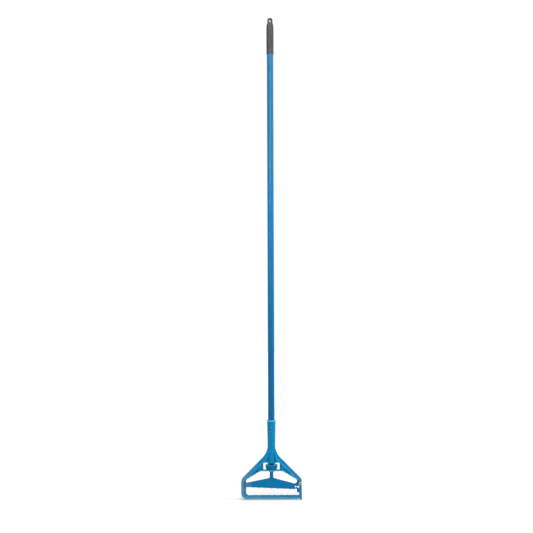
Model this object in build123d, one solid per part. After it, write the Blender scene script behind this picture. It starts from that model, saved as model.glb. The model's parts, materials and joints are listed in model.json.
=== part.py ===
from build123d import *
import os
from math import cos, radians, sin, sqrt, tan

# Wet-mop handle with a quick-change head: tube, hang-up grip, moulded head frame, clamp bar, thumb wheel
# and side gate.
# Frame of reference: +Z up along the handle, +X to the gate side, -Y to the front.
# The origin is on the handle's axis, level with the foot of the gate. Everything is in millimetres.

os.makedirs("parts", exist_ok=True)

# ---- driving dimensions ------------------------------------------------------------------
OVERALL_LENGTH = 1626.0     # foot of the gate to the top of the eyelet (64 inches)
HALF_WIDTH = 100.8          # handle axis to either side of the head (8 inch head)
HALF_DEPTH = 11.0           # half of the head's depth, front to back
WEB_HALF = 2.0              # half the thickness of the middle web
RUN_GAP = 0.5               # clearance between parts that slide past each other

TUBE_R = 11.0               # 22 mm tube
TUBE_WALL = 1.2
TUBE_BOTTOM = 196.3
TUBE_TOP = 1598.0

GRIP_BOTTOM = 1501.0
GRIP_R = 12.5
GRIP_SHOULDER = 1606.0
RIB_START = 1519.0
RIB_PITCH = 6.4
RIB_COUNT = 10
RIB_DEPTH = 0.9
EYELET_WIDTH = 16.6
EYELET_HALF_THICK = 4.5
EYELET_HOLE_R = 4.5
EYELET_HOLE_Z = 1615.6
EYELET_TURN = 20.0          # the grip is pushed on turned by this much about the handle

SOCKET_TOP = 261.4
SOCKET_R = 13.9
SOCKET_NECK_R = 12.75       # narrowest, just above the arms
SOCKET_NECK_Z = 184.0
SOCKET_END = 118.8
COLLAR_R = 15.8
COLLAR_HEIGHT = 4.4
GUIDE_R = 6.5               # blind hole in the socket's end, which guides the screw
GUIDE_TOP = 156.0
PARTITION = 4.0
SOCKET_RIVET_Z = 237.0
SOCKET_RIVET_R = 2.4
SOCKET_RIVET_HOLE_R = 2.45

RAIL = 10.6                 # width of the arms' outer rail
RAIL_ROUND = 2.5
POST = 9.0                  # width of the post's outer rail
BAR_BOTTOM = 3.3
BAR_RAIL_TOP = 10.4
BAR_WEB_TOP = 13.6
POST_WEB_EDGE = -84.4
ARM_LINE = 166.5            # the arms' outer edges run at 45 degrees, where |x| + z is this
BEAD_R = 2.2                # round bead along the inner edge of each arm's rail
BEAD_SINK = 0.1             # its crown lies this far behind the rail's face
RECESS = 2.2                # the rail's face is stepped back by this much along the arms
SHOULDER_ROUND = (20.0, 14.0)       # outer corner of the left and of the right arm
ARM_TIP = (12.4, 177.0)     # where an arm's outer edge comes out of the socket, upright
ARM_BEND = (30.0, ARM_LINE - 30.0)
ARM_ROOT = 5.0              # the arms' details start this far from the axis, inside the socket
RAIL_LINE = ARM_LINE - RAIL * 2 ** 0.5      # the same for the inner edge of the arms' rails
CROSSBAR = (93.1, 97.0)     # underside and top of the crossbar below the window
FLANGE_CORNER = 36.5        # where the crossbar's underside turns down the arms
FLANGE_SLOPE = 29.5         # degrees
FLANGE_HALF = 9.0
FLANGE = 4.0
WINDOW_HALF = 27.1
WINDOW_TOP = 120.4
BAR_END = 86.6
TONGUE_END = 97.0
STUB_EDGE = 84.6            # inner edge of the web beside the gate's pivot
STUB_FOOT = 49.0
KNUCKLE_R = 4.3
RAIL_FOOT = 60.6            # underside of the right arm's rail, above the gate's hub

TOOTH_PITCH = 20.9
TOOTH_HEIGHT = 1.8
TOOTH_WIDTH = 3.6

THREAD_PITCH = 6.0
SCREW_R = 6.0
SCREW_ROOT_R = 4.9
SCREW_SMOOTH_TOP = 89.5     # the thread runs from here to the screw's end
SCREW_THREAD_START = SCREW_SMOOTH_TOP - 2.5
SCREW_END = 146.0
BORE_R = 6.4                # clearance hole through the crossbar and its boss
BOSS_BOTTOM = 88.9
BOSS_NECK_R = 7.4
BOSS_R = 9.6

WHEEL_BOTTOM = 97.4
WHEEL_TOP = 114.4
WHEEL_R = 20.8
WHEEL_TAPER = 3.0           # its foot is smaller than its rim by this much
WHEEL_LOBES = 5
WHEEL_TURN = 18.0            # one lobe faces front, turned by this much
NUT_MAJOR_R = 6.35
NUT_MINOR_R = 5.25
WASHER_R = 15.0
WASHER_THICK = 3.2
WASHER_SLOT = 6.6           # half the width of its slot, which lets it be pushed on from the front

CLAMP_TILT = 2.5            # the clamp bar hangs this much out of square, gate side down
CLAMP_TILT_Z = 50.0
CLAMP_HALF = 4.5
CLAMP_CHEEK_HALF = 4.9
CLAMP_BOTTOM = 37.2
CLAMP_SHOULDER = 70.1       # height of the sloping top edges where they meet the screw
CLAMP_SLOPE = 13.5          # degrees, at the screw
LEFT_SLOPE = 14.2           # of the top edge on the post's side
RIGHT_SLOPE = 12.4
CLAMP_LEFT = -89.3
CLAMP_RIGHT = 90.4
SLOT_HALF = WEB_HALF + RUN_GAP
FORK_RUN = 1.4              # the fork's slot reaches this far inside the web's edge

CLOSE = 1e-4                # lengths that differ by less than this count as equal
BEYOND = 60.0               # reach of a cutting tool that has to pass right through the head

PIVOT_X = 95.3
PIVOT_Z = 53.8
PIVOT_R = 2.6
GATE_HALF = 9.5
GATE_CHEEK = 4.2
GATE_INNER = 91.6
GATE_HUB_R = 5.4
GATE_WALL = 2.9


# ---- helpers -----------------------------------------------------------------------------
def outline(points, rounds=()):
    """Closed face through (x, z) points; rounds lists (point, radius) for the corners that are rounded."""
    face = make_face(Polyline(*points, close=True))
    for corner, radius in rounds:
        vertex = face.vertices().sort_by_distance(Vector(*corner))[0]
        face = fillet(vertex, radius)
    return face


def upright(face, half):
    """Extrude a face drawn in (x, z) equally to the front and to the back."""
    return extrude(Plane.XZ * face, amount=half, both=True)


def slab(face, front, back):
    """Extrude a face drawn in (x, z) from y = front to y = back."""
    return Pos(0, front, 0) * extrude(Plane.XZ * face, amount=front - back)


def turned(points):
    """Solid of revolution about Z through (radius, z) points."""
    return revolve(Plane.XZ * make_face(Polyline(*points, close=True)), axis=Axis.Z)


def tube_z(radius, low, high):
    """Cylinder on the handle's axis."""
    return Pos(0, 0, low) * Cylinder(radius, high - low, align=(Align.CENTER, Align.CENTER, Align.MIN))


def pin_y(radius, x, z, front, back):
    """Cylinder along Y from y = front to y = back."""
    length = back - front
    return Pos(x, (front + back) / 2, z) * Rot(90, 0, 0) * Cylinder(radius, length)


def block(x, y, z):
    """Box between pairs of limits."""
    size = (x[1] - x[0], y[1] - y[0], z[1] - z[0])
    return Pos((x[0] + x[1]) / 2, (y[0] + y[1]) / 2, (z[0] + z[1]) / 2) * Box(*size)


def face_edges(solid, half):
    """Edges that lie in the front and back faces of an upright solid."""
    level = [e for e in solid.edges() if e.bounding_box().size.Y < CLOSE]
    return ShapeList(e for e in level if abs(abs(e.center().Y) - half) < CLOSE)


def softened(solid, half, radius, keep=lambda centre: True):
    """Round the front and back edges of an upright solid, or those whose centre passes the keep test."""
    return fillet([e for e in face_edges(solid, half) if keep(e.center())], radius)


def mirrored(solid):
    """The same solid on the other side of the handle."""
    return mirror(solid, about=Plane.YZ)


# ---- handle ------------------------------------------------------------------------------
def handle_tube():
    tube = tube_z(TUBE_R, TUBE_BOTTOM, TUBE_TOP) - tube_z(TUBE_R - TUBE_WALL, TUBE_BOTTOM - 1, TUBE_TOP + 1)
    return tube - pin_y(SOCKET_RIVET_HOLE_R, 0, SOCKET_RIVET_Z, -20, 20)


def tube_core_plug():
    """Plug inside the tube's lower end, which the socket rivet passes through."""
    radius = TUBE_R - TUBE_WALL - 0.05
    low, high, bevel = 199.0, 254.0, 1.5
    plug = turned([(0, low), (radius - bevel, low), (radius, low + bevel), (radius, high - bevel),
                   (radius - bevel, high), (0, high)])
    return plug - pin_y(SOCKET_RIVET_HOLE_R, 0, SOCKET_RIVET_Z, -20, 20)


def tube_top_plug():
    """Flanged plug that closes the tube's top under the grip."""
    radius = TUBE_R - TUBE_WALL - 0.05
    flange_r, flange_low, flange_high = TUBE_R - 0.1, TUBE_TOP + 0.05, TUBE_TOP + 1.8
    foot, bevel = TUBE_TOP - 15, 1.2
    return turned([(0, foot), (radius - bevel, foot), (radius, foot + 2), (radius, flange_low),
                   (flange_r, flange_low), (flange_r, flange_high), (0, flange_high)])


def grip_body():
    """Sleeve with ringed middle, closed over the tube's end."""
    profile = [(TUBE_R + 0.05, GRIP_BOTTOM), (GRIP_R - 0.7, GRIP_BOTTOM), (GRIP_R, GRIP_BOTTOM + 0.8),
               (GRIP_R, GRIP_BOTTOM + 5.0), (GRIP_R - 0.35, GRIP_BOTTOM + 6.0), (GRIP_R - 0.1, RIB_START)]
    for ring in range(RIB_COUNT):
        low = RIB_START + ring * RIB_PITCH
        profile += [(GRIP_R - RIB_DEPTH, low + 0.9), (GRIP_R - RIB_DEPTH, low + 2.3),
                    (GRIP_R, low + 3.2), (GRIP_R, low + RIB_PITCH)]
    profile += [(GRIP_R - 0.25, RIB_START + RIB_COUNT * RIB_PITCH + 6.0), (GRIP_R - 1.0, GRIP_SHOULDER - 4.0),
                (GRIP_R - 1.7, GRIP_SHOULDER - 2.0), (GRIP_R - 3.4, GRIP_SHOULDER), (0, GRIP_SHOULDER),
                (0, TUBE_TOP + 1.9), (TUBE_R + 0.05, TUBE_TOP + 1.9)]
    return turned(profile)


def eyelet():
    """Flat loop on top of the grip, with the hole that the mop hangs by."""
    half, low, high = EYELET_WIDTH / 2, GRIP_SHOULDER - 4.0, OVERALL_LENGTH
    flare = 2.0
    face = outline([(-half - flare, low), (half + flare, low), (half, low + 7.0), (half, high), (-half, high),
                    (-half, low + 7.0)],
                   [((half, high), 6.5), ((-half, high), 6.5)])
    loop = softened(upright(face, EYELET_HALF_THICK), EYELET_HALF_THICK, 1.6)
    return loop - pin_y(EYELET_HOLE_R, 0, EYELET_HOLE_Z, -10, 10)


def hang_grip():
    return Rot(0, 0, EYELET_TURN) * (grip_body() + eyelet())


# ---- head frame --------------------------------------------------------------------------
def left_rail(lower_points, rounds):
    """Rail of the left arm as a solid; lower_points take its outline away from the arm and back to it."""
    tip, bend = (-ARM_TIP[0], ARM_TIP[1]), (-ARM_BEND[0], ARM_BEND[1])
    root = -ARM_ROOT
    chain = [bend] + lower_points + [(root, RAIL_LINE + root), (root, ARM_TIP[1]), tip]
    face = make_face(TangentArc(bend, tip, tangent=(1, 1)).edges() + Polyline(*chain).edges())
    for corner, radius in rounds:
        face = fillet(face.vertices().sort_by_distance(Vector(*corner))[0], radius)
    low = min(z for x, z in lower_points)
    rail = softened(upright(face, HALF_DEPTH), HALF_DEPTH, RAIL_ROUND,
                    lambda centre: centre.X < -ARM_TIP[0] and (centre.Z > low + 0.1 or low == BAR_BOTTOM))
    return rail - arm_relief()


def arm_relief():
    """Curved cut that thins the arms from the front and from the back until they run out on the socket."""
    start, end = (-HALF_DEPTH - 0.01, 142.0), (-3.0, ARM_TIP[1] + 0.5)
    curve = TangentArc(start, end, tangent=(0, 1))
    outside = -2 * HALF_DEPTH
    side = make_face(curve.edges() + Polyline(end, (outside, end[1]), (outside, start[1]), start).edges())
    cut = extrude(Plane.YZ * side, amount=BEYOND, both=True)
    return cut + mirror(cut, about=Plane.XZ)


def outer_rails():
    """Rail round the head: left arm, post and bottom bar in one run, and the right arm by itself."""
    edge, inner = HALF_WIDTH, HALF_WIDTH - POST
    shoulder = (-edge, ARM_LINE - edge)
    armpit = (-inner, RAIL_LINE - inner)
    run = left_rail([shoulder, (-edge, BAR_BOTTOM), (BAR_END, BAR_BOTTOM), (BAR_END, BAR_RAIL_TOP),
                     (-inner, BAR_RAIL_TOP), armpit],
                    [(shoulder, SHOULDER_ROUND[0]), ((-edge, BAR_BOTTOM), 18), ((-inner, BAR_RAIL_TOP), 9),
                     (armpit, 8)])
    foot = RAIL_FOOT - 15
    arm = left_rail([shoulder, (-edge, foot), (-inner, foot), armpit],
                    [(shoulder, SHOULDER_ROUND[1]), (armpit, 8)])
    return run + (mirrored(arm) - block((inner - 20, edge + 20), (-BEYOND, BEYOND), (0, RAIL_FOOT)))


def along_arm(line):
    """Plane whose x runs down the right arm on the line where x + z is this, and whose y points back."""
    return Plane(origin=(ARM_ROOT, 0, line - ARM_ROOT), x_dir=(1, 0, -1), z_dir=(1, 0, 1))


def arm_recess():
    """Step that sets back the right arm's face along its whole width and runs out above the corner."""
    length, ramp = 104.0, 12.0
    floor, face, outside = HALF_DEPTH - RECESS, HALF_DEPTH + 0.05, HALF_DEPTH + 5
    side = make_face(Polyline((0, floor), (length, floor), (length + ramp, face), (length + ramp, outside),
                              (0, outside), close=True))
    cut = extrude(along_arm(RAIL_LINE - 1) * side, amount=BEYOND)
    return cut + mirror(cut, about=Plane.XZ)


def arm_beads():
    """Round bead along the inner edge of the right arm, curving up into the socket's side, front and back."""
    line, foot_x, bend_x, bend_r, depth = RAIL_LINE + 0.5, 88.0, 20.5, 28.0, HALF_DEPTH - BEAD_SINK - BEAD_R
    foot, bend = (foot_x, -depth, line - foot_x), (bend_x, -depth, line - bend_x)
    top = (bend_x - bend_r * (1 - cos(radians(45))), -depth, line - bend_x + bend_r * sin(radians(45)))
    path = Line(foot, bend) + TangentArc(bend, top, tangent=(-1, 0, 1))
    rod = sweep(Plane(origin=foot, z_dir=(-1, 0, 1)) * Circle(BEAD_R), path=path)
    return (rod + mirror(rod, about=Plane.XZ)) - arm_relief()


def web():
    """Thin middle plate: the gusset between the arms, the post's web and the toothed web of the bar."""
    post_in, bar_in = HALF_WIDTH - 5.0, BAR_BOTTOM + 2.5
    shoulder = ARM_LINE - 5.0
    drop = (STUB_EDGE - FLANGE_CORNER) * tan(radians(FLANGE_SLOPE))
    flange_end = CROSSBAR[0] - drop
    left_drop = CROSSBAR[0] - (-POST_WEB_EDGE - FLANGE_CORNER) * tan(radians(FLANGE_SLOPE))
    points = [(9, shoulder - 9), (post_in, shoulder - post_in), (post_in, RAIL_FOOT + 1),
              (HALF_WIDTH - POST, STUB_FOOT), (STUB_EDGE, STUB_FOOT), (STUB_EDGE, flange_end),
              (FLANGE_CORNER, CROSSBAR[0]),
              (-FLANGE_CORNER, CROSSBAR[0]), (POST_WEB_EDGE, left_drop), (POST_WEB_EDGE, BAR_WEB_TOP),
              (BAR_END, BAR_WEB_TOP), (BAR_END, bar_in), (-post_in, bar_in), (-post_in, shoulder - post_in),
              (-9, shoulder - 9)]
    rounds = [((POST_WEB_EDGE, BAR_WEB_TOP), 9), ((-post_in, bar_in), 12), ((STUB_EDGE, STUB_FOOT), 2)]
    return upright(outline(points, rounds), WEB_HALF)


def lower_flange():
    """Flange along the underside of both arms, level under the window where it makes the crossbar."""
    end = HALF_WIDTH - POST + 2.0
    slope = tan(radians(FLANGE_SLOPE))
    rise = FLANGE / cos(radians(FLANGE_SLOPE))
    end_z = CROSSBAR[0] - (end - FLANGE_CORNER) * slope
    knee = FLANGE_CORNER + (rise - FLANGE) / slope
    lower = [(-end, end_z), (-FLANGE_CORNER, CROSSBAR[0]), (FLANGE_CORNER, CROSSBAR[0]), (end, end_z)]
    upper = [(end, end_z + rise), (knee, CROSSBAR[1]), (-knee, CROSSBAR[1]), (-end, end_z + rise)]
    return softened(upright(outline(lower + upper), FLANGE_HALF), FLANGE_HALF, 1.0)


def window_ribs():
    """Upright rib on each side of the window."""
    inner_line = ARM_LINE - (RAIL - 1) * sqrt(2)
    near, far, low, half = WINDOW_HALF, WINDOW_HALF + 6.0, CROSSBAR[0] + 1, 5.5
    face = outline([(near, low), (far, low), (far, inner_line - far), (near, inner_line - near)])
    rib = softened(upright(face, half), half, 1.0)
    return rib + mirrored(rib)


def socket_outside():
    """Round socket with its collar, rounded end and gentle waist."""
    end_round, end_r, low = 2.0, SOCKET_NECK_R + 0.15, SOCKET_END
    curve = [(end_r - end_round * (1 - sin(radians(a))), low + end_round * (1 - cos(radians(a))))
             for a in (0, 22.5, 45, 67.5, 90)]
    collar_low = SOCKET_TOP - COLLAR_HEIGHT
    points = [(0, low)] + curve + [
        (SOCKET_NECK_R, SOCKET_NECK_Z - 20), (SOCKET_NECK_R, SOCKET_NECK_Z),
        (SOCKET_NECK_R + 0.55, SOCKET_NECK_Z + 25), (SOCKET_R - 0.1, SOCKET_RIVET_Z - 10),
        (SOCKET_R, SOCKET_RIVET_Z + 5), (SOCKET_R + 0.15, collar_low - 1.2),
        (SOCKET_R + 0.6, collar_low - 0.4), (COLLAR_R - 0.8, collar_low), (COLLAR_R, collar_low + 0.9),
        (COLLAR_R, SOCKET_TOP - 1.4), (COLLAR_R - 1.2, SOCKET_TOP), (0, SOCKET_TOP)]
    return turned(points)


def socket_inside():
    """Everything that is hollow in the socket: tube bore, core below it, and the screw's blind guide hole."""
    bore = tube_z(TUBE_R + 0.08, TUBE_BOTTOM - 0.1, SOCKET_TOP + 1)
    core = tube_z(TUBE_R - 2.0, GUIDE_TOP + PARTITION, TUBE_BOTTOM)
    return bore + core + tube_z(GUIDE_R, SOCKET_END - 1, GUIDE_TOP)


def crossbar_boss():
    """Flared boss below the crossbar that the screw passes through."""
    top, height = CROSSBAR[1] - 0.6, CROSSBAR[0] - BOSS_BOTTOM
    spread = BOSS_R - BOSS_NECK_R
    flare = [(BOSS_NECK_R + spread * (1 - cos(radians(a))), BOSS_BOTTOM + height * sin(radians(a)))
             for a in (0, 18, 36, 54, 72, 90)]
    return turned([(0, BOSS_BOTTOM)] + flare + [(BOSS_R, top), (0, top)])


def knuckle():
    """Tongue of the right arm that carries the gate's pivot."""
    half = KNUCKLE_R + 0.4
    stem = block((PIVOT_X - KNUCKLE_R, PIVOT_X + KNUCKLE_R), (-half, half), (PIVOT_Z, RAIL_FOOT + 1.2))
    return stem + pin_y(KNUCKLE_R, PIVOT_X, PIVOT_Z, -half, half)


def bar_tongue():
    """Narrow end of the bottom bar, which the gate closes over."""
    face = outline([(BAR_END - 6, 4.8), (TONGUE_END, 4.8), (TONGUE_END, 13.2), (BAR_END - 6, 13.2)],
                   [((TONGUE_END, 4.8), 1.5), ((TONGUE_END, 13.2), 1.5)])
    return upright(face, CLAMP_HALF)


def tooth(x, z, half, up):
    """Small rounded wedge that bites into the mop's band."""
    foot, tip, foot_half, tip_half = z - up * 0.5, z + up * TOOTH_HEIGHT, TOOTH_WIDTH / 2, 0.6
    face = outline([(x - foot_half, foot), (x - tip_half, tip), (x + tip_half, tip), (x + foot_half, foot)])
    return upright(face, half)


def bar_teeth():
    return [tooth(TOOTH_PITCH * (k + 0.5), BAR_WEB_TOP, WEB_HALF, 1) for k in range(-3, 4)]


def window_cut():
    """Window in the web for the thumb wheel, with rounded corners."""
    low, high = CROSSBAR[1], WINDOW_TOP
    face = outline([(-WINDOW_HALF, low), (WINDOW_HALF, low), (WINDOW_HALF, high), (-WINDOW_HALF, high)],
                   [((-WINDOW_HALF, high), 3), ((WINDOW_HALF, high), 3)])
    return upright(face, 30)


def mop_frame():
    """One moulding: socket, arms, window, post, toothed bar and gate knuckle."""
    rails = outer_rails() - arm_recess() - mirrored(arm_recess())
    rails += arm_beads()
    rails += mirrored(arm_beads())
    plate = web() + lower_flange() + window_ribs() - window_cut()
    body = rails + plate + knuckle() + bar_tongue()
    for bump in bar_teeth():
        body += bump
    body += crossbar_boss()
    body -= tube_z(SOCKET_NECK_R - 1, SOCKET_END + 6, WINDOW_TOP + 60)
    body += socket_outside()
    body -= socket_inside()
    body -= tube_z(BORE_R, BOSS_BOTTOM - 1, CROSSBAR[1] + 0.5)
    body -= pin_y(SOCKET_RIVET_HOLE_R, 0, SOCKET_RIVET_Z, -20, 20)
    return body - pin_y(PIVOT_R + 0.05, PIVOT_X, PIVOT_Z, -20, 20)


# ---- clamp -------------------------------------------------------------------------------
def helical_ridge(radius, root_r, tip_r, root_width, tip_width, low, length):
    """Right-handed trapezoid ridge wound round Z, starting above the +X axis at z = low."""
    path = Helix(pitch=THREAD_PITCH, height=length, radius=radius)
    section = Plane.XZ * make_face(Polyline((root_r, -root_width / 2), (tip_r, -tip_width / 2),
                                            (tip_r, tip_width / 2), (root_r, root_width / 2), close=True))
    return Pos(0, 0, low) * sweep(section, path=path, is_frenet=True)


def screw():
    """Smooth shank that turns into a coarse thread, with a cone where it dies into the clamp bar."""
    shank = turned([(0, 56), (3.4, 58), (SCREW_R, 68.5), (SCREW_R, SCREW_SMOOTH_TOP),
                    (SCREW_ROOT_R, SCREW_SMOOTH_TOP + 1), (SCREW_ROOT_R, SCREW_END - 1.5),
                    (SCREW_ROOT_R - 1.5, SCREW_END), (0, SCREW_END)])
    turns = 9
    ridge = helical_ridge(SCREW_ROOT_R, SCREW_ROOT_R - 0.3, SCREW_R, 3.9, 1.9, SCREW_THREAD_START,
                          turns * THREAD_PITCH)
    return shank + ridge


def clamp_top(x):
    """Height of the clamp bar's sloping top edge at x, before the bar is tilted."""
    slope = RIGHT_SLOPE if x > 0 else LEFT_SLOPE
    return CLAMP_SHOULDER - (abs(x) - SCREW_R) * tan(radians(slope))


def clamp_plate():
    """Roof-shaped plate, straight below and sloping above."""
    left_z = clamp_top(CLAMP_LEFT)
    peak_z = CLAMP_SHOULDER + SCREW_R * tan(radians(RIGHT_SLOPE))
    eye_x = 78.0
    face = outline([(CLAMP_LEFT, CLAMP_BOTTOM + 1.0), (CLAMP_LEFT + 4, CLAMP_BOTTOM), (eye_x, CLAMP_BOTTOM),
                    (eye_x, clamp_top(eye_x)), (0, peak_z), (CLAMP_LEFT, left_z)],
                   [((CLAMP_LEFT, left_z), 2.5)])
    return softened(upright(face, CLAMP_HALF), CLAMP_HALF, 1.0)


def screw_flare():
    """Concave flare, as thick as the plate, that carries the plate's sloping edges up into the screw."""
    radius, sweep_deg, low, plate_in = 6.5, 90.0 - CLAMP_SLOPE, 60.0, 2.0
    centre_x, centre_z = SCREW_R - 0.12 + radius, CLAMP_SHOULDER + 4.9
    angles = [sweep_deg * k / 8 for k in range(9)]
    curve = [(centre_x - radius * cos(radians(a)), centre_z - radius * sin(radians(a))) for a in angles]
    foot_x, foot_z = curve[-1]
    edge = curve + [(foot_x + 8, foot_z - 8 * tan(radians(CLAMP_SLOPE)) - 0.5), (foot_x + 8, low)]
    round_flare = turned([(0, centre_z)] + edge + [(0, low)])
    depth = CLAMP_HALF - 0.02
    return round_flare & block((-30, 30), (-depth, depth), (low + plate_in, centre_z))


def left_cheeks():
    """Thicker end that straddles the post's web."""
    inner = CLAMP_LEFT + 11.5
    top, inner_top = clamp_top(CLAMP_LEFT), clamp_top(inner)
    face = outline([(CLAMP_LEFT, CLAMP_BOTTOM + 1), (CLAMP_LEFT + 4, CLAMP_BOTTOM), (inner, CLAMP_BOTTOM),
                    (inner, inner_top), (CLAMP_LEFT, top)], [((CLAMP_LEFT, top), 2.5)])
    return upright(face, CLAMP_CHEEK_HALF)


def right_eye():
    """Eye at the gate end: an arched top, a thin lower strip and an upright divider between two windows."""
    centre_x, centre_z, radius = 84.2, 48.4, 9.4
    ring = make_face(CenterArc((centre_x, centre_z), radius, 0, 360).edges())
    strip = outline([(74.5, 38.4), (CLAMP_RIGHT, 38.8), (CLAMP_RIGHT, 48.4), (74.5, 48.4)])
    limit = outline([(70, 30), (CLAMP_RIGHT, 30), (CLAMP_RIGHT, 70), (70, 70)])
    blank = upright((ring + strip) & limit, CLAMP_CHEEK_HALF)
    low, high, left, divider, right = 41.8, 47.6, 77.7, (82.2, 84.0), CLAMP_RIGHT + 5
    first = outline([(left, low), (divider[0], low), (divider[0], high), (left, high)],
                    [((left, low), 2.0), ((left, high), 2.0)])
    second = outline([(divider[1], low), (right, low), (right, high - 0.6), (divider[1], high)])
    return blank - upright(first, 20) - upright(second, 20)


def clamp_teeth():
    return [tooth(TOOTH_PITCH * k, CLAMP_BOTTOM, CLAMP_HALF - 0.6, -1) for k in range(-3, 4)]


def clamp_bar():
    """Clamp bar and screw in one moulding. Its ends are forks that slide on the post and the gate's rib."""
    plate = clamp_plate() + left_cheeks()
    plate += right_eye()
    for bump in clamp_teeth():
        plate += bump
    tilted = Pos(0, 0, CLAMP_TILT_Z) * Rot(0, CLAMP_TILT, 0) * Pos(0, 0, -CLAMP_TILT_Z) * plate
    tilted += screw_flare()
    left_slot = block((-2 * HALF_WIDTH, POST_WEB_EDGE + 1.0), (-SLOT_HALF, SLOT_HALF), (20, 80))
    right_slot = block((STUB_EDGE - FORK_RUN, 2 * HALF_WIDTH), (-SLOT_HALF, SLOT_HALF), (20, 80))
    return tilted - left_slot - right_slot + screw()


def lobed_disc():
    """Blank of the thumb wheel: a slightly conical disc with scalloped sides."""
    foot_r = WHEEL_R - WHEEL_TAPER
    blank = turned([(0, WHEEL_BOTTOM), (foot_r - 1.2, WHEEL_BOTTOM), (foot_r, WHEEL_BOTTOM + 1.2),
                    (WHEEL_R, WHEEL_TOP - 2.2), (WHEEL_R - 0.6, WHEEL_TOP - 0.7), (WHEEL_R - 2.2, WHEEL_TOP),
                    (0, WHEEL_TOP)])
    for k in range(WHEEL_LOBES):
        angle = radians(-90 + WHEEL_TURN + (k + 0.5) * 360 / WHEEL_LOBES)
        x, y = (WHEEL_R + 4.2) * cos(angle), (WHEEL_R + 4.2) * sin(angle)
        blank -= Pos(x, y, 0) * tube_z(6.6, WHEEL_BOTTOM - 1, WHEEL_TOP + 1)
    return blank


def thumb_wheel():
    """Lobed nut with an internal thread, half a pitch out of step with the screw's so that they mesh."""
    bore = tube_z(NUT_MAJOR_R, WHEEL_BOTTOM - 1, WHEEL_TOP + 1)
    in_step = SCREW_THREAD_START + 1.5 * THREAD_PITCH       # height on the +X axis that meshes with the screw
    start = WHEEL_BOTTOM + 2.2
    turn = 360 * (start - in_step) / THREAD_PITCH
    ridge = helical_ridge(NUT_MAJOR_R, NUT_MAJOR_R + 0.3, NUT_MINOR_R, 3.7, 1.7, start, 1.5 * THREAD_PITCH)
    return lobed_disc() - bore + Rot(0, 0, turn) * ridge


def thrust_washer():
    """Slotted steel washer on the wheel, which bears on the socket's end when the clamp is tight."""
    low, high = WHEEL_TOP, WHEEL_TOP + WASHER_THICK
    slot = block((-WASHER_SLOT, WASHER_SLOT), (-2 * WASHER_R, 0), (low - 1, high + 1))
    return tube_z(WASHER_R, low, high) - tube_z(WASHER_SLOT, low - 1, high + 1) - slot


# ---- gate --------------------------------------------------------------------------------
def gate_cheeks():
    """Two side plates of the gate, with the round hub at the top."""
    top = PIVOT_Z - 3
    face = outline([(GATE_INNER, 0), (HALF_WIDTH, 0), (HALF_WIDTH - 0.9, top), (GATE_INNER, top)],
                   [((GATE_INNER, 0), 1.5), ((HALF_WIDTH, 0), 1.5)])
    hub = make_face(CenterArc((PIVOT_X, PIVOT_Z), GATE_HUB_R, 0, 360).edges())
    plate = face + hub
    inner = GATE_HALF - GATE_CHEEK
    return slab(plate, -GATE_HALF, -inner) + slab(plate, inner, GATE_HALF)


def gate_wall():
    """Outer wall and foot that join the cheeks."""
    low_in = HALF_WIDTH - GATE_WALL
    top, lean, foot = 47.0, 0.8, 2.6
    wall = outline([(GATE_INNER, 0), (HALF_WIDTH, 0), (HALF_WIDTH - lean, top), (low_in - lean, top),
                    (low_in, foot), (GATE_INNER, foot)],
                   [((GATE_INNER, 0), 1.5), ((HALF_WIDTH, 0), 1.5), ((HALF_WIDTH - lean, top), 1.2)])
    return softened(upright(wall, GATE_HALF), GATE_HALF, 0.8)


def gate_rib():
    """Middle rib that the clamp bar's fork slides on."""
    tip, low, high, wall = 84.2, 23.5, 35.5, HALF_WIDTH - 2
    face = outline([(tip, low), (wall, low - 1.8), (wall, high), (tip + 1.8, high), (tip, high - 2)],
                   [((tip, low), 1.5)])
    return upright(face, WEB_HALF)


def gate_pockets():
    """Shallow pockets in the front and back faces."""
    left, right, floor, outside = 93.6, 98.0, GATE_HALF - 1.2, GATE_HALF + 1
    pockets = []
    for low, high in ((33.0, 46.5), (6.0, 14.5)):
        corners = [(left, low), (right, low), (right, high), (left, high)]
        face = outline(corners, [(corner, 1) for corner in corners])
        pockets += [slab(face, -outside, -floor), slab(face, floor, outside)]
    return pockets


def side_gate():
    body = gate_cheeks() + gate_wall() + gate_rib()
    for pocket in gate_pockets():
        body -= pocket
    return body - pin_y(PIVOT_R + 0.08, PIVOT_X, PIVOT_Z, -20, 20)


# ---- rivets ------------------------------------------------------------------------------
def rivet(shank_r, head_r, tail_r, head_y, tail_y, head_height, dimple):
    """Rivet along Y: domed head in front, shank, and a flared tail behind, with a dimple in the head."""
    top, tail_end = head_y - head_height, tail_y + 1.3
    profile = [(0, tail_end), (tail_r - 0.5, tail_end), (tail_r, tail_end - 0.5), (tail_r, tail_y),
               (shank_r, tail_y), (shank_r, head_y), (head_r, head_y), (head_r, head_y - 0.25 * head_height),
               (head_r - 0.7, head_y - 0.7 * head_height), (head_r * 0.6, top), (dimple + 0.3, top),
               (dimple, top + 0.4), (dimple * 0.8, top + 1.2), (0, top + 1.4)]
    face = make_face(Polyline(*profile, close=True))
    return revolve(face, axis=Axis.Y)


def washer_y(radius, hole, front, back):
    return pin_y(radius, 0, 0, front, back) - pin_y(hole, 0, 0, front - 1, back + 1)


def socket_rivet():
    front, back = -SOCKET_R - 0.06, SOCKET_R + 0.9
    return Pos(0, 0, SOCKET_RIVET_Z) * rivet(SOCKET_RIVET_R, 3.5, 3.6, front, back, 1.9, 1.0)


def socket_rivet_washer():
    front, back = SOCKET_R + 0.06, SOCKET_R + 0.86
    return Pos(0, 0, SOCKET_RIVET_Z) * washer_y(4.8, SOCKET_RIVET_HOLE_R, front, back)


def gate_rivet():
    front, back = -GATE_HALF - 0.05, GATE_HALF + 1.35
    return Pos(PIVOT_X, 0, PIVOT_Z) * rivet(PIVOT_R, 4.8, 4.2, front, back, 2.0, 2.0)


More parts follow.
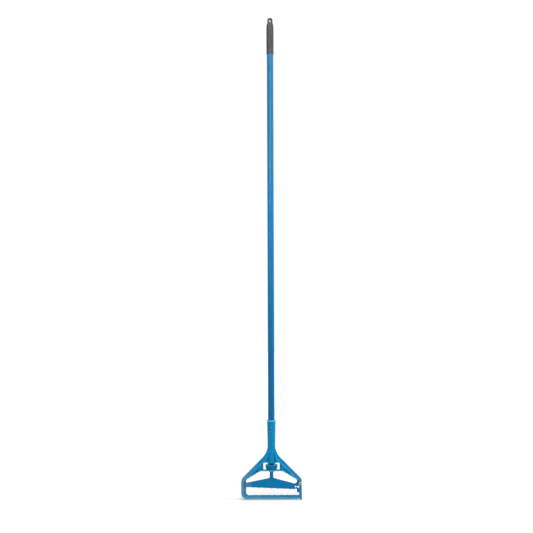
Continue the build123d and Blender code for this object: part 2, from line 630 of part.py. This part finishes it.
def gate_rivet_washer():
    front, back = GATE_HALF + 0.1, GATE_HALF + 1.3
    return Pos(PIVOT_X, 0, PIVOT_Z) * washer_y(5.4, PIVOT_R + 0.05, front, back)


# ---- write one file per piece ------------------------------------------------------------
PIECES = [handle_tube, tube_core_plug, tube_top_plug, hang_grip, mop_frame, clamp_bar, thumb_wheel,
          thrust_washer, side_gate, gate_rivet, gate_rivet_washer, socket_rivet, socket_rivet_washer]

for piece in PIECES:
    export_step(piece(), f"parts/{piece.__name__}.step")
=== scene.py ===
import json
from math import cos, radians, sin

import bpy
from mathutils import Matrix, Vector


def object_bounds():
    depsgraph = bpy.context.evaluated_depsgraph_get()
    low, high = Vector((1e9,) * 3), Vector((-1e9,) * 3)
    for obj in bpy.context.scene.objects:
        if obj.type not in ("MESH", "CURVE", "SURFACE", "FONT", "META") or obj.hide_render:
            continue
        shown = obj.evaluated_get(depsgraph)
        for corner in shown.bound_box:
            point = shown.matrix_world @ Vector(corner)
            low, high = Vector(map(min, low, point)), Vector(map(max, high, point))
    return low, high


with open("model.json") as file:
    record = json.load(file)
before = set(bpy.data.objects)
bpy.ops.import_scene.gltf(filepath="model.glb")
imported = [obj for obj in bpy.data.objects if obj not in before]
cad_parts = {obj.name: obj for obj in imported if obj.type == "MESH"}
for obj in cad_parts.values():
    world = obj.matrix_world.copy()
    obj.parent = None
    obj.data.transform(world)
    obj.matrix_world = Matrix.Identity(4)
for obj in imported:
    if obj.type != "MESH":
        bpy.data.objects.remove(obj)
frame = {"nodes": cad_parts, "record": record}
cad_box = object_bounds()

# Looks for the wet-mop handle: camera, studio, floor and procedural materials. Lengths are in metres.

# ---- camera ------------------------------------------------------------------------------
CAMERA_PLACE = Vector((-0.01441, -3.0, 0.610))
CAMERA_TILT = radians(3.143)        # upwards
CAMERA_ROLL = radians(-0.191)
FOCAL_LENGTH = 60.2                 # in millimetres, like the sensor's width
SENSOR_WIDTH = 36.0
SIGHT = 50.0                        # the camera sees as far as this


def make_camera():
    """Long lens, level with the lower third of the handle and tilted up a little."""
    level_right, level_up = Vector((1, 0, 0)), Vector((0, -sin(CAMERA_TILT), cos(CAMERA_TILT)))
    forward = Vector((0, cos(CAMERA_TILT), sin(CAMERA_TILT)))
    right = level_right * cos(CAMERA_ROLL) + level_up * sin(CAMERA_ROLL)
    up = level_up * cos(CAMERA_ROLL) - level_right * sin(CAMERA_ROLL)
    data = bpy.data.cameras.new("camera")
    data.lens, data.sensor_width, data.clip_end = FOCAL_LENGTH, SENSOR_WIDTH, SIGHT
    camera = bpy.data.objects.new("camera", data)
    turn = Matrix((right, up, -forward)).transposed().to_4x4()
    camera.matrix_world = Matrix.Translation(CAMERA_PLACE) @ turn
    bpy.context.scene.collection.objects.link(camera)
    bpy.context.scene.camera = camera


# ---- node helpers ------------------------------------------------------------------------
NOISE_SPREAD = (0.3, 0.7)           # the values that a noise mostly takes


def put(tree, socket, value):
    """Sets an input, or links it where the value is another node's output."""
    if isinstance(value, bpy.types.NodeSocket):
        tree.links.new(value, socket)
    else:
        socket.default_value = value


def add(tree, kind, operation=None, **inputs):
    """New node with the inputs that are given."""
    node = tree.nodes.new("ShaderNode" + kind)
    if operation:
        node.operation = operation
    for name, value in inputs.items():
        put(tree, node.inputs[name.replace("_", " ")], value)
    return node


def place(tree, stretch=(1, 1, 1)):
    """Position in the object's own space, stretched along its axes."""
    where = add(tree, "TexCoord").outputs["Object"]
    return add(tree, "Mapping", Vector=where, Scale=stretch).outputs[0]


def noise(tree, vector, scale, detail=3.0, rough=0.5):
    return add(tree, "TexNoise", Vector=vector, Scale=scale, Detail=detail, Roughness=rough).outputs["Fac"]


def ramp(tree, value, low, high, to_low=0.0, to_high=1.0):
    """Value remapped from one range to another, and held at its ends."""
    node = add(tree, "MapRange", Value=value, From_Min=low, From_Max=high, To_Min=to_low, To_Max=to_high)
    return node.outputs["Result"]


def blend(tree, share, first, second):
    """Colour between two colours. Sockets 6, 7 and 2 are the ones that the Mix node has for colours."""
    node = tree.nodes.new("ShaderNodeMix")
    node.data_type = "RGBA"
    put(tree, node.inputs[0], share)
    for socket, colour in ((node.inputs[6], first), (node.inputs[7], second)):
        put(tree, socket, (*colour, 1) if isinstance(colour, tuple) else colour)
    return node.outputs[2]


def calculate(tree, operation, first, second=0.0):
    """Result of a maths operation on outputs or numbers."""
    node = add(tree, "Math", operation)
    put(tree, node.inputs[0], first)
    put(tree, node.inputs[1], second)
    return node.outputs[0]


def product(tree, first, *others):
    for other in others:
        first = calculate(tree, "MULTIPLY", first, other)
    return first


def bump(tree, height, depth):
    """Normal that is raised by height, up to depth."""
    return add(tree, "Bump", Strength=1.0, Distance=depth, Height=height).outputs[0]


def new_material(name):
    material = bpy.data.materials.new(name)
    material.use_nodes = True
    return material, material.node_tree, material.node_tree.nodes["Principled BSDF"]


def set_shader(tree, shader, **inputs):
    for name, value in inputs.items():
        put(tree, shader.inputs[name.replace("_", " ")], value)


# ---- studio ------------------------------------------------------------------------------
WHITE = (1, 1, 1, 1)
BACKDROP_TURN = (0.0, 0.6)          # y of a direction at which the backdrop starts to light, and lights fully
BACKDROP_LIGHT = 0.6
FLOOR_HALF = 12.0
FLOOR_GAP = 0.0005                  # between the object's foot and the floor
FLOOR_PAINT = (0.93, 0.93, 0.93, 1)
GLOW_REACH = (0.05, 4.0)            # distances from the origin between which the floor's glow grows, so that the
GLOW = (0.20, 1.0)                  # shadow stays near the object and the horizon is white


def make_world():
    """Backdrop that the camera sees as white all round, and that lights the object from behind only."""
    world = bpy.data.worlds.new("studio")
    world.use_nodes = True
    bpy.context.scene.world = world
    tree = world.node_tree
    tree.nodes.clear()
    direction = add(tree, "TexCoord").outputs["Generated"]
    behind = add(tree, "SeparateXYZ", Vector=direction).outputs["Y"]
    lit = add(tree, "Background", Color=WHITE, Strength=ramp(tree, behind, *BACKDROP_TURN, 0.0, BACKDROP_LIGHT))
    seen = add(tree, "Background", Color=WHITE)
    by_camera = add(tree, "LightPath").outputs["Is Camera Ray"]
    mix = tree.nodes.new("ShaderNodeMixShader")
    for socket, output in zip(mix.inputs, (by_camera, lit.outputs[0], seen.outputs[0])):
        tree.links.new(output, socket)
    add(tree, "OutputWorld", Surface=mix.outputs[0])


def make_floor():
    """Large pale floor just under the object, with a faint glow of its own."""
    mesh = bpy.data.meshes.new("floor")
    level = cad_box[0].z - FLOOR_GAP
    corners = [(x * FLOOR_HALF, y * FLOOR_HALF, level) for x, y in ((-1, -1), (1, -1), (1, 1), (-1, 1))]
    mesh.from_pydata(corners, [], [(0, 1, 2, 3)])
    floor = bpy.data.objects.new("floor", mesh)
    bpy.context.scene.collection.objects.link(floor)
    paint, tree, shader = new_material("pale_floor")
    reach = add(tree, "VectorMath", "LENGTH")
    tree.links.new(add(tree, "TexCoord").outputs["Object"], reach.inputs[0])
    set_shader(tree, shader, Base_Color=FLOOR_PAINT, Roughness=0.9, Emission_Color=WHITE,
               Emission_Strength=ramp(tree, reach.outputs["Value"], *GLOW_REACH, *GLOW))
    mesh.materials.append(paint)
    floor.visible_glossy = False


def soft_box(name, place, target, size, watts, mirrored=True):
    """Rectangular area light at place, facing target; glossy surfaces show it if mirrored."""
    data = bpy.data.lights.new(name, "AREA")
    data.shape, data.size, data.size_y = "RECTANGLE", size[0], size[1]
    data.energy = watts
    light = bpy.data.objects.new(name, data)
    light.visible_glossy = mirrored
    light.location = place
    light.rotation_euler = (Vector(target) - Vector(place)).to_track_quat("-Z", "Y").to_euler()
    bpy.context.scene.collection.objects.link(light)


def make_studio():
    bpy.context.scene.view_settings.view_transform = "Standard"
    make_world()
    make_floor()
    middle = (0, 0, 0.7)
    soft_box("strip_left", place=(-1.5, -2.6, 1.3), target=(0, 0, 1.1), size=(0.4, 1.0), watts=15)
    soft_box("overhead", place=(0, -1.0, 3.4), target=(0, 0, 0.4), size=(2.6, 1.6), watts=62)
    soft_box("front_high", place=(0.3, -4.0, 2.5), target=middle, size=(3.0, 1.8), watts=45)
    soft_box("side_right", place=(3.0, -0.25, 1.0), target=middle, size=(1.4, 2.4), watts=70, mirrored=False)


# ---- regions of the mouldings ------------------------------------------------------------
# A region is a list of rows, (measure, first value, second value), each a share that goes from 0 to 1 between
# the two values, or between two other shares that follow. The shares are multiplied. The measures are x and z;
# aside and proud, a point's distances to the planes x = 0 and y = 0; line, which is |x| + z and is constant
# along the arms' edges; and level, the height over the outline of the crossbar and the flanges.
FLANGE_CORNER = 0.0365              # the crossbar turns down into a flange at this distance from the axis
FLANGE_FALL = 0.566                 # and falls by this much per metre outwards
# Painted light: the recessed webs beside the socket are painted brighter, where shade would fall.
GUSSET_PAINTED_LIGHT = [("proud", 0.0030, 0.0022), ("aside", 0.0135, 0.0140), ("line", 0.1530, 0.1520),
          ("level", 0.0974, 0.0978)]
# Painted light: the fronts of the lower flanges are painted pale, as a lit band.
FLANGE = [("proud", 0.0055, 0.0085), ("level", 0.0982, 0.0976), ("level", 0.0915, 0.0922),
          ("aside", 0.055, 0.085, 1, 0)]
# Mask of the painted light on the arm beads, stronger towards the right.
BEAD = [("proud", 0.0097, 0.0104), ("line", 0.1468, 0.1476), ("z", 0.064, 0.085), ("aside", 0.0130, 0.0140),
        ("x", -0.08, 0.02, 0.6, 1.0)]
BEAD_BEND = (0.128, 0.133)          # z between which the bead bends upright
BEAD_OUTER = (0.1550, 0.1750)       # line of its outer edge below and above the bend
BEAD_EDGE = 0.0008                  # width over which the mask fades there
# Painted light: the top of the collar is painted bright, as a lit band.
COLLAR_PAINTED_LIGHT = [("z", 0.2563, 0.2572)]
# Painted reflection: the foot of the bar is painted pale teal, as the floor mirrored in it.
BAR_FOOT_PAINTED_REFLECTION = [("z", 0.0105, 0.0070, 0, 0.8)]
# Spread of the painted reflection: strongest low down and on the left side.
PAINTED_REFLECTION_SPREAD = [("z", 0.125, 0.055), ("x", -0.09, 0.03, 1.0, 0.35)]
RAIL_FACE = [("proud", 0.0062, 0.0085)]
POST_INSIDE = [("x", -0.0832, -0.0842)]
BAR_INSIDE = [("z", 0.0172, 0.0165)]
# Painted light: the clamp's left end is painted paler.
CLAMP_END_PAINTED_LIGHT = [("x", -0.064, -0.071, 0, 0.7)]
# Painted light: the top rim of the thumb wheel is painted lighter than its shaded sides.
WHEEL_RIM_PAINTED_LIGHT = [("z", 0.1108, 0.1128)]
TUBE_LOW = [("z", 0.45, 0.95, 0.55, 0)]
TUBE_HIGH = [("z", 0.95, 1.30, 0, 0.6)]


def measures(tree):
    """Every measure of the shaded point, by name."""
    x, y, z = add(tree, "SeparateXYZ", Vector=add(tree, "TexCoord").outputs["Object"]).outputs
    aside = calculate(tree, "ABSOLUTE", x)
    run = calculate(tree, "MAXIMUM", calculate(tree, "SUBTRACT", aside, FLANGE_CORNER), 0.0)
    return {"x": x, "z": z, "aside": aside, "proud": calculate(tree, "ABSOLUTE", y),
            "line": calculate(tree, "ADD", aside, z),
            "level": calculate(tree, "ADD", z, product(tree, run, FLANGE_FALL))}


def region(tree, rows):
    """0 to 1: share of the shaded point that lies in a region."""
    found = measures(tree)
    return product(tree, *(ramp(tree, found[row[0]], *row[1:]) for row in rows))


def bead(tree):
    """0 to 1: round bead along each arm, whose crown is painted brighter: painted light, as where the light from
    above falls on it.
    """
    found = measures(tree)
    outer = ramp(tree, found["z"], *BEAD_BEND, *BEAD_OUTER)
    inside = ramp(tree, calculate(tree, "SUBTRACT", outer, found["line"]), 0, BEAD_EDGE)
    return product(tree, region(tree, BEAD), inside)


def painted_reflection(tree):
    """0 to 1: painted reflection, a pale haze standing for the white surroundings mirrored on the rails, post
    and bar, most of all low down and on the post's side.
    """
    raised = region(tree, RAIL_FACE)
    for rows in (POST_INSIDE, BAR_INSIDE):
        raised = calculate(tree, "MAXIMUM", raised, region(tree, rows))
    clouds = ramp(tree, noise(tree, place(tree), scale=60, detail=4), *NOISE_SPREAD, 0.75, 1.0)
    return product(tree, raised, region(tree, PAINTED_REFLECTION_SPREAD), clouds)


# ---- materials ---------------------------------------------------------------------------
ALONG_TUBE = (1, 1, 0.06)           # stretches that draw a noise out along z
ALONG_FLECKS = (1, 1, 0.3)
ALONG_SCRATCHES = (1, 1, 0.08)
FLECK_SPREAD = (0.62, 0.72)         # only the peaks of a noise are flecks
DUST_SPREAD = (0.35, 0.7)
GATE_AXIS = (0.0953, 0.0538)        # x and z of the gate's rivet
DIMPLE_R = 0.0022                   # of the dimple in its head
DIMPLE_EDGE = (1.15, 0.85)          # times that radius, from outside to inside
DIMPLE_FLOOR = (0.20, 0.12, 0.07)


def moulded_plastic(name, dark, light, tones=()):
    """Moulded polypropylene: flow marks in the colour and a fine grain. Tones are (region or mask, colour);
    those given here are painted light, shade or reflection.
    """
    material, tree, shader = new_material(name)
    where = place(tree)
    grain = noise(tree, where, scale=1500, detail=2)
    sheen = noise(tree, where, scale=220, detail=4)
    colour = blend(tree, ramp(tree, noise(tree, where, scale=38), *NOISE_SPREAD), dark, light)
    for tone, tint in tones:
        share = tone(tree) if callable(tone) else region(tree, tone)
        colour = blend(tree, share, colour, tint)
    set_shader(tree, shader, Base_Color=colour, Normal=bump(tree, grain, 0.00004), Specular_IOR_Level=0.12,
               Roughness=ramp(tree, sheen, *NOISE_SPREAD, 0.19, 0.32))
    return material


def tube_paint(name="tube_paint"):
    """Enamelled tube: a clear coat over fine fibres that run along it, with pale flecks that are partly painted
    glints, darker towards the bottom and duller towards the top.
    """
    material, tree, shader = new_material(name)
    fibres = noise(tree, place(tree, ALONG_TUBE), scale=900, detail=4, rough=0.7)
    # Pale flecks: partly the speckle of the fibres, partly painted glints of light.
    flecks = ramp(tree, noise(tree, place(tree, ALONG_FLECKS), scale=1400, detail=2), *FLECK_SPREAD, 0, 0.15)
    colour = blend(tree, ramp(tree, fibres, *NOISE_SPREAD), (0.002, 0.150, 0.370), (0.004, 0.190, 0.450))
    colour = blend(tree, region(tree, TUBE_HIGH), colour, (0.020, 0.150, 0.270))
    colour = blend(tree, flecks, colour, (0.35, 0.52, 0.68))
    colour = blend(tree, region(tree, TUBE_LOW), colour, (0.001, 0.080, 0.205))
    set_shader(tree, shader, Base_Color=colour, Roughness=ramp(tree, fibres, *NOISE_SPREAD, 0.25, 0.4),
               Normal=bump(tree, fibres, 0.00004), Specular_IOR_Level=0.15, Coat_Weight=0.6, Coat_Roughness=0.12)
    return material


def grip_rubber(name="grip_rubber"):
    """Soft dark rubber with a dusty bloom."""
    material, tree, shader = new_material(name)
    where = place(tree)
    dust = noise(tree, where, scale=160, detail=5, rough=0.6)
    grain = noise(tree, where, scale=2200)
    colour = blend(tree, ramp(tree, dust, *DUST_SPREAD), (0.055, 0.055, 0.058), (0.085, 0.085, 0.088))
    set_shader(tree, shader, Base_Color=colour, Roughness=ramp(tree, dust, *NOISE_SPREAD, 0.5, 0.68),
               Normal=bump(tree, grain, 0.00005))
    return material


def gate_dimple(tree):
    """0 to 1: dimple in the head of the gate's rivet."""
    found = measures(tree)
    offsets = [calculate(tree, "SUBTRACT", found[name], middle) for name, middle in zip("xz", GATE_AXIS)]
    squares = [product(tree, offset, offset) for offset in offsets]
    reach = calculate(tree, "SQRT", calculate(tree, "ADD", *squares))
    return ramp(tree, reach, *(DIMPLE_R * times for times in DIMPLE_EDGE))


def bare_metal(name, dark, light, roughness, metallic=1.0, dimple=None):
    """Pressed metal with fine scratches; dimple is the mask of a hollow with a darker floor."""
    material, tree, shader = new_material(name)
    scratches = noise(tree, place(tree, ALONG_SCRATCHES), scale=2600, detail=4, rough=0.65)
    colour = blend(tree, ramp(tree, noise(tree, place(tree), scale=700), *NOISE_SPREAD), dark, light)
    if dimple:
        colour = blend(tree, dimple(tree), colour, DIMPLE_FLOOR)
    smoothest, roughest = roughness - 0.06, roughness + 0.1
    set_shader(tree, shader, Base_Color=colour, Normal=bump(tree, scratches, 0.00003), Metallic=metallic,
               Roughness=ramp(tree, scratches, *NOISE_SPREAD, smoothest, roughest))
    return material


def make_materials():
    """One material for each slot of the record, and one more for the thumb wheel: the blue plastic darkened as
    painted shade, with its top rim painted lighter as painted light.
    """
    # Every head tone is painted light: lit webs, a pale painted reflection, lit flange, bead and collar, and the
    # floor mirrored on the bar's foot.
    head_painted_tones = [(GUSSET_PAINTED_LIGHT, (0.001, 0.340, 0.640)), (painted_reflection, (0.098, 0.262, 0.450)),
                  (FLANGE, (0.120, 0.370, 0.570)), (bead, (0.004, 0.400, 0.720)),
                  (COLLAR_PAINTED_LIGHT, (0.030, 0.460, 0.760)), (BAR_FOOT_PAINTED_REFLECTION, (0.050, 0.320, 0.440))]
    # Painted light on the clamp's left end.
    clamp_painted_tones = [(CLAMP_END_PAINTED_LIGHT, (0.060, 0.240, 0.410))]
    # Painted light on the wheel's top rim.
    wheel_painted_tones = [(WHEEL_RIM_PAINTED_LIGHT, (0.004, 0.270, 0.500))]
    return {
        "tube_paint": tube_paint(),
        "head_plastic": moulded_plastic("head_plastic", (0.001, 0.195, 0.405), (0.001, 0.225, 0.455),
                                        head_painted_tones),
        "clamp_plastic": moulded_plastic("clamp_plastic", (0.001, 0.170, 0.385), (0.001, 0.190, 0.425),
                                         clamp_painted_tones),
        "grip_rubber": grip_rubber(),
        "plug_plastic": moulded_plastic("plug_plastic", (0.62, 0.62, 0.58), (0.72, 0.72, 0.69)),
        "rivet_steel": bare_metal("rivet_steel", (0.62, 0.60, 0.56), (0.78, 0.76, 0.72), roughness=0.32),
        "rivet_copper": bare_metal("rivet_copper", (0.74, 0.63, 0.54), (0.92, 0.84, 0.76), roughness=0.45,
                                   metallic=0.4, dimple=gate_dimple),
        "washer_steel": bare_metal("washer_steel", (0.62, 0.62, 0.62), (0.80, 0.80, 0.80), roughness=0.25,
                                   metallic=0.8),
        # Painted shade: the wheel is the head's blue plastic, coloured darker for the shade on its sides.
        "wheel_plastic_painted_shade": moulded_plastic("wheel_plastic_painted_shade", (0.001, 0.130, 0.290), (0.001, 0.150, 0.330),
                                         wheel_painted_tones),
    }


def dress_nodes():
    """Every CAD node takes the material of its slot; the thumb wheel takes the darker copy of the blue plastic,
    with painted shade and a painted lit rim.
    """
    materials = make_materials()
    for part in frame["record"]["subparts"]:
        node = frame["nodes"][part["node"]]
        look = "wheel_plastic_painted_shade" if part["node"] == "thumb_wheel" else part["material_slot"]
        for slot in node.material_slots:
            slot.material = materials[look]
        for face in node.data.polygons:
            face.use_smooth = True


make_camera()
make_studio()
dress_nodes()
